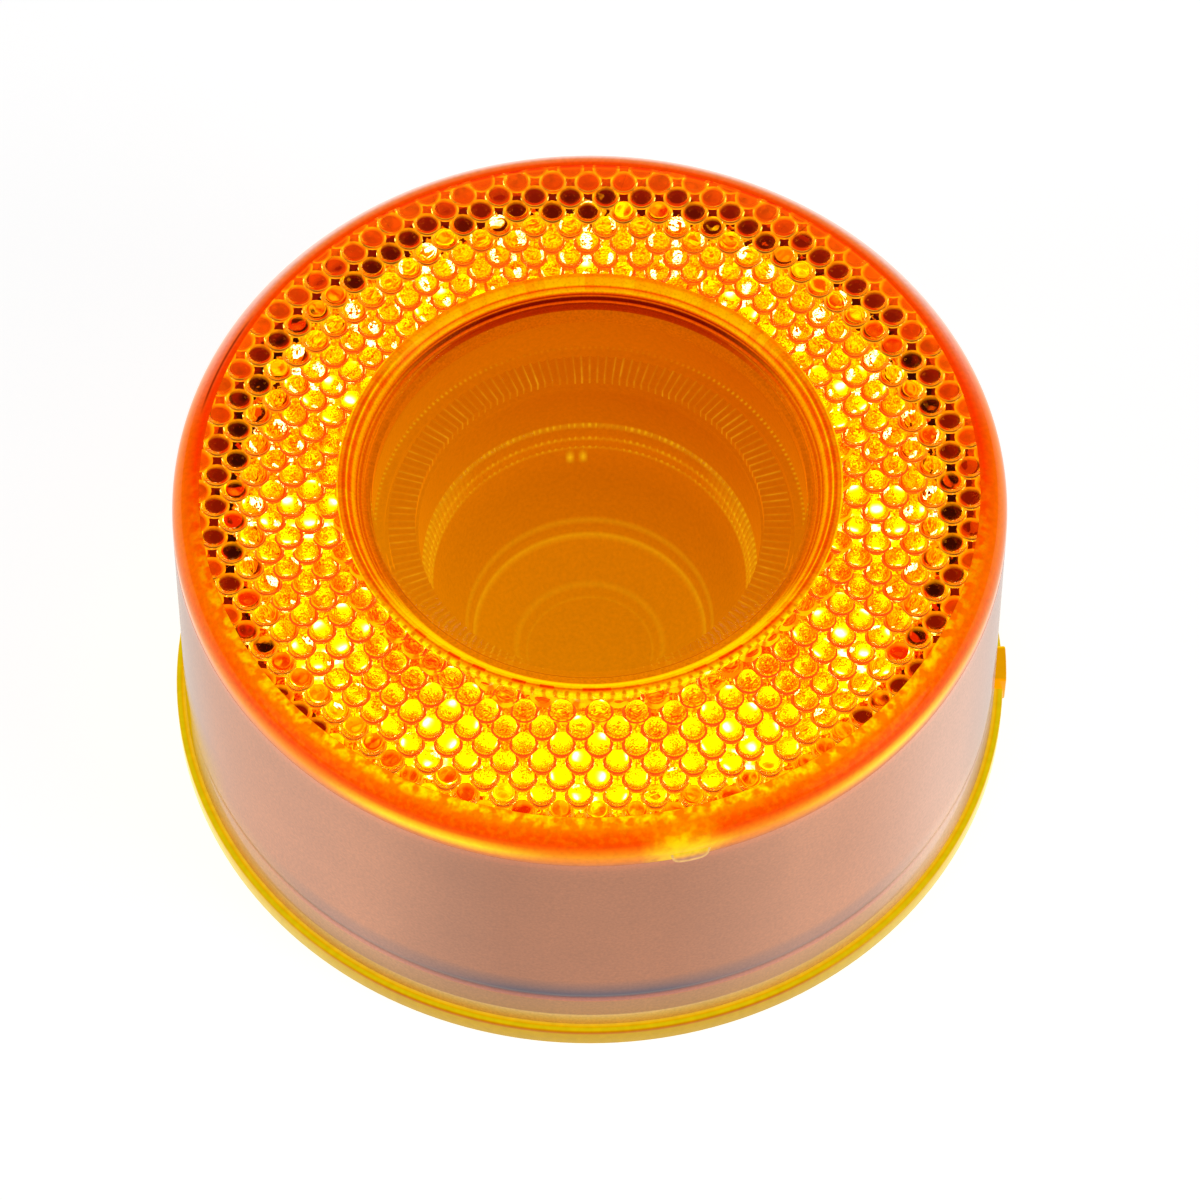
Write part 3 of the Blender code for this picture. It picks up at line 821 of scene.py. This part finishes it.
def make_wall():
    """The tall wall, with a hair-deep step where the skirt inside it ends."""
    outline = [(WALL_BASE - 1.8, FLANGE_HEIGHT), (WALL_BASE, FLANGE_HEIGHT)]
    step_at, step_depth = SKIRT_BOTTOM - 0.2, 0.05
    # Rings close to the step keep its tilted shading off the rest of the wall.
    near_step = [step_at + offset for offset in (-0.4, -0.12, 0.0, 0.12, 0.4)]
    for level in (*near_step, 8.0, 12.0, 18.0, RIM_LOWEST):
        sunk = step_depth if level == step_at else 0.0
        outline.append((wall_radius(level) - sunk, level))
    outline.append((SKIRT_RADIUS + 0.35, RIM_LOWEST))
    make_piece("lens_wall", lathe(outline), wall_look(), "lens", smooth_angle=60.0)


def make_gate_mark():
    """The moulding gate's trace under the rim: a small glowing pad with a rounded lower edge."""
    buried, proud, proud_at_edge = -0.3, 0.07, 0.021
    columns, rows = 16, 8
    builder = bmesh.new()
    for outward in (False, True):
        layer = []
        for row in range(rows + 1):
            line = []
            for column in range(columns + 1):
                side = 2 * column / columns - 1
                depth = GATE_DROP * (1 - abs(side) ** 4) ** 0.5 + 0.05
                z = GATE_TOP - depth * row / rows
                inside = 0 < row < rows and 0 < column < columns
                rise = (proud if inside else proud_at_edge) if outward else buried
                radius = wall_radius(z) + rise
                angle = GATE_ANGLE + side * GATE_HALF
                line.append(builder.verts.new((radius * math.cos(angle), radius * math.sin(angle), z)))
            layer.append(line)
        for row in range(rows):
            for column in range(columns):
                builder.faces.new((layer[row][column], layer[row][column + 1],
                                   layer[row + 1][column + 1], layer[row + 1][column]))
    bmesh.ops.bridge_loops(builder, edges=[edge for edge in builder.edges if edge.is_boundary])
    bmesh.ops.recalc_face_normals(builder, faces=builder.faces)
    make_piece("lens_gate_mark", builder, gate_look(), "lens")


def make_flange():
    """The foot of the lens, with soft edges."""
    soft = 0.2
    inner = WALL_BASE - 1.9
    outline = [
        (inner, 0.0),
        *arc_points((FLANGE_RADIUS - soft, soft), soft, soft, -90, 0, 5),
        *arc_points((FLANGE_RADIUS - soft, FLANGE_HEIGHT - soft), soft, soft, 0, 90, 5),
        (inner, FLANGE_HEIGHT),
    ]
    make_piece("lens_flange", lathe(outline), flange_look(), "lens")


def make_index_tab():
    """The small block on the flange at +X that finds the lamp's place in its grommet."""
    inner = WALL_BASE - 0.6
    bottom, top = 0.4, 3.15
    soft = 0.15
    steps = 8
    builder = bmesh.new()
    arc = [TAB_START + (TAB_END - TAB_START) * step / steps for step in range(steps + 1)]
    points = [(inner, angle) for angle in arc] + [(TAB_RADIUS, angle) for angle in reversed(arc)]
    corners = [(radius * math.cos(angle), radius * math.sin(angle)) for radius, angle in points]
    floor = builder.faces.new([builder.verts.new((px, py, bottom)) for px, py in corners])
    raised = bmesh.ops.extrude_face_region(builder, geom=[floor])
    lifted = [item for item in raised["geom"] if isinstance(item, bmesh.types.BMVert)]
    bmesh.ops.translate(builder, verts=lifted, vec=(0.0, 0.0, top - bottom))
    sharp = [edge for edge in builder.edges if edge.calc_face_angle(0.0) > math.radians(40)]
    bmesh.ops.bevel(builder, geom=sharp, offset=soft, segments=3, affect="EDGES", profile=0.5)
    bmesh.ops.recalc_face_normals(builder, faces=builder.faces)
    make_piece("lens_index_tab", builder, tab_look(), "lens")


def make_window_border():
    """The plain border round the window, its countersink and the lip that the window rests on."""
    collar_bottom = FACE_UNDERSIDE - 0.3
    outline = [(COLLAR_OUTER, collar_bottom), (COLLAR_OUTER, HEIGHT), (CONE_TOP, HEIGHT)]
    steps, groove_depth = 10, 0.04
    for step in range(1, steps):
        share = step / steps
        drop = (HEIGHT - WINDOW_BOTTOM) * share + (groove_depth if step % 2 else 0.0)
        outline.append((CONE_TOP + (CONE_FOOT - CONE_TOP) * share, HEIGHT - drop))
    outline += [
        (CONE_FOOT, WINDOW_BOTTOM), (CONE_FOOT, SEAT_HEIGHT), (LIP_RADIUS, SEAT_HEIGHT),
        (LIP_RADIUS, LIP_BOTTOM), (CONE_TOP, LIP_BOTTOM), (CONE_TOP + 0.4, collar_bottom),
    ]
    make_piece("lens_window_border", lathe(outline), window_border_look(), "lens")


def make_tray():
    """The reflector under the beads: a dish round the LEDs, inside an unlit ledge."""
    inner = FUNNEL_OUTER + 0.3
    shoulder, floor = 22.6, 20.2  # where the dish's sides grow steeper, and its flat bottom
    outline = [
        (inner, TRAY_BOTTOM), (TRAY_OUTER, TRAY_BOTTOM), (TRAY_OUTER, LEDGE_TOP),
        (LEDGE_INNER, LEDGE_TOP), (25.2, shoulder), (23.9, floor),
        (19.8, floor), (18.4, shoulder), (17.6, LEDGE_TOP), (inner, LEDGE_TOP),
    ]
    make_piece("led_tray_dish", lathe(outline), tray_look(), "led_reflector_tray")


def make_inner_skirt():
    """The skirt's upper inner side, as seen through the outermost beads."""
    inner, bottom = TRAY_OUTER + 0.05, TRAY_BOTTOM - 1.0
    outline = [
        (inner, bottom), (SKIRT_RADIUS, bottom), (SKIRT_RADIUS, SKIRT_TOP), (inner, SKIRT_TOP - 0.6),
    ]
    skirt = lathe(outline)
    make_piece("side_reflector_inside", skirt, inner_skirt_look(), "side_reflector")


def make_tunnel():
    """The stepped funnel, with fine ribs on the step halfway down."""
    depth = 0.06
    widest = 12.5  # the ribs are inside this radius, and the funnel's back is outside it

    def ribbed(radius, height, angle):
        if RIBS_FROM < height < RIBS_TO and radius < widest:
            return radius - depth + depth * math.cos(FLUTES * angle), height
        return radius, height

    floor = 4.3
    steps = [
        (LIP_RADIUS, FUNNEL_TOP), (LIP_RADIUS, 22.0), (15.2, 22.0), (15.2, 21.3), (12.7, 21.3),
        (12.5, 16.75), (12.4, 16.6), (12.25, 16.2), (11.95, 15.0), (11.9, 14.6), (11.6, 14.3),
        (9.4, 8.4), (9.2, 8.1), (8.8, 7.1), (8.6, 6.9), (5.6, 5.0), (5.4, 4.9), (4.8, floor),
    ]
    back = [(5.4, 3.5), (6.0, 4.2), (9.2, 6.3), (9.9, 7.6), (12.6, 14.2), (13.2, 16.4)]
    back += [(13.5, 20.5), (FUNNEL_OUTER, 20.5), (FUNNEL_OUTER, FUNNEL_TOP)]
    outline = [(0.0, FUNNEL_BOTTOM), *back, *steps, (0.0, floor)]
    builder = lathe(outline, segments=FLUTES * 4, shape=ribbed)
    make_piece("tunnel_steps", builder, tunnel_look(), "tunnel_reflector")


def make_fluted_ring():
    """The light ring round the tunnel's mouth, with radial flutes on its top."""
    inner = 12.9
    depth = 0.12

    def fluted(radius, height, angle):
        if height < FLUTE_TOP:
            return radius, height
        return radius, height - depth + depth * math.cos(FLUTES * angle)

    outline = [
        (inner, FLUTE_BOTTOM), (FLUTE_OUTER, FLUTE_BOTTOM),
        (FLUTE_OUTER, FLUTE_TOP), (inner, FLUTE_TOP),
    ]
    builder = lathe(outline, segments=FLUTES * 8, shape=fluted)
    make_piece("fluted_ring_fine", builder, flute_look(), "fluted_light_ring", 60.0)


# ---------------------------------------------------------------- CAD nodes that stay

def grained_look(name, dark, light, size_mm, depth_mm, **settings):
    """A surface whose colour drifts between two shades, with a fine moulded or cast grain."""
    look = Look(name, **settings)
    look.set("Base Color", look.ramp(look.noise(size_mm, detail=5.0), [(0.3, dark), (0.7, light)]))
    look.bump(look.noise(size_mm / 4, detail=4.0), depth_mm, 0.5)
    return look


def board_look():
    """Green solder mask with copper tracks under it, fanned out round the ring."""
    look = Look("board_solder_mask", roughness=0.35)
    radius, angle = look.axes("radius angle")
    tracks = look.times(look.around(angle, 48, sharp=8.0), look.around(radius, 3.0, sharp=2.0))
    mask = look.ramp(look.noise(2.0), [(0.3, (0.004, 0.05, 0.015)), (0.7, (0.006, 0.07, 0.02))])
    look.set("Base Color", look.blend(tracks, mask, (0.05, 0.16, 0.03)))
    look.bump(tracks, 0.03, 0.5)
    return look


def dress_cad_nodes():
    """Gives the nodes that stay as they are their materials, found by the start of their names."""
    brass = grained_look("turned_brass", (0.62, 0.42, 0.14), (0.8, 0.58, 0.24), 0.9, 0.01,
                         roughness=0.25, metallic=1.0)
    sheath = grained_look("wire_sheath", (0.4, 0.02, 0.01), (0.55, 0.04, 0.02), 0.6, 0.01, roughness=0.4)
    can = grained_look("capacitor_metal", (0.55, 0.55, 0.56), (0.7, 0.7, 0.71), 0.7, 0.01,
                       roughness=0.3, metallic=1.0)
    black = grained_look("moulded_black", (0.012, 0.012, 0.014), (0.03, 0.03, 0.033), 1.2, 0.02,
                         roughness=0.5)
    resin = grained_look("cast_resin", (0.008, 0.008, 0.009), (0.018, 0.018, 0.02), 5.0, 0.05,
                         roughness=0.18)
    rubber = grained_look("seal_rubber", grey(0.01), grey(0.022), 0.8, 0.02, roughness=0.85)
    chip = grained_look("component_epoxy", grey(0.01), grey(0.03), 0.5, 0.01, roughness=0.45)
    lit = led_look()
    looks = {
        "led_0": lit, "led_1": lit, "led_board": board_look(), "tunnel_window": window_look(),
        "housing": black, "potting": resin, "sealing_ring": rubber,
        "resistor": chip, "reverse": chip, "driver": chip, "surge": can,
        "terminal": brass, "lead_power": sheath, "lead_ground": sheath,
    }
    for name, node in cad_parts.items():
        for start, look in looks.items():
            if name.startswith(start):
                node.data.materials.clear()
                node.data.materials.append(look.material)


# ---------------------------------------------------------------- the stage

def make_floor():
    """A plain white table top that gives back a little light of its own, as a lit sweep does."""
    builder = bmesh.new()
    bmesh.ops.create_grid(builder, x_segments=1, y_segments=1, size=4.0)
    mesh = bpy.data.meshes.new("floor")
    builder.to_mesh(mesh)
    builder.free()
    floor = bpy.data.objects.new("floor", mesh)
    bpy.context.collection.objects.link(floor)
    look = Look("pale_floor", roughness=0.9, specular_ior_level=0.0)
    patches = look.noise(60.0)
    look.set("Base Color", look.ramp(patches, [(0.0, grey(0.48)), (1.0, grey(0.5))]))
    look.glow(look.ramp(patches, [(0.0, grey(0.9)), (1.0, grey(0.92))]))
    mesh.materials.append(look.material)
    floor.location.z = -0.1 * MM  # a hair under the lamp, so that the two faces don't meet


def make_lights():
    """Two softboxes low at the sides, clear of the face's mirror direction, the right one stronger."""
    for name, place, power in (
        ("right_softbox", (0.7, -0.35, 0.25), 2.4),
        ("left_softbox", (-0.7, -0.35, 0.35), 1.2),
    ):
        softbox = bpy.data.lights.new(name, "AREA")
        softbox.shape = "DISK"
        softbox.size = 0.5
        softbox.energy = power
        lamp = bpy.data.objects.new(name, softbox)
        lamp.location = place
        lamp.rotation_euler = lamp.location.to_track_quat("Z", "Y").to_euler()
        bpy.context.collection.objects.link(lamp)


def make_camera():
    """The photographer's view: from the front, steeply down, with a long lens."""
    distance, elevation = 0.450, math.radians(57.45)
    target = Vector((0.0, 0.0, HEIGHT * MM / 2))
    data = bpy.data.cameras.new("camera")
    data.sensor_width = 36.0
    data.lens = 179.6
    # The lamp stands a little off the middle of the picture.
    data.shift_x = 0.0086
    data.shift_y = -0.0144
    data.clip_start = 0.01
    camera = bpy.data.objects.new("camera", data)
    back = Vector((0.0, -math.cos(elevation), math.sin(elevation)))
    camera.location = target + back * distance
    camera.rotation_euler = (-back).to_track_quat("-Z", "Y").to_euler()
    bpy.context.collection.objects.link(camera)
    bpy.context.scene.camera = camera


def make_world():
    world = bpy.data.worlds.new("studio")
    world.use_nodes = True
    background = world.node_tree.nodes["Background"]
    background.inputs["Color"].default_value = (*WHITE, 1.0)
    background.inputs["Strength"].default_value = 0.06
    bpy.context.scene.world = world
    bpy.context.scene.view_settings.view_transform = "Standard"


make_camera()
make_world()
make_floor()
make_lights()
make_bead_ring()
make_rim()
make_wall()
make_gate_mark()
make_flange()
make_index_tab()
make_window_border()
make_tray()
make_inner_skirt()
make_tunnel()
make_fluted_ring()
dress_cad_nodes()
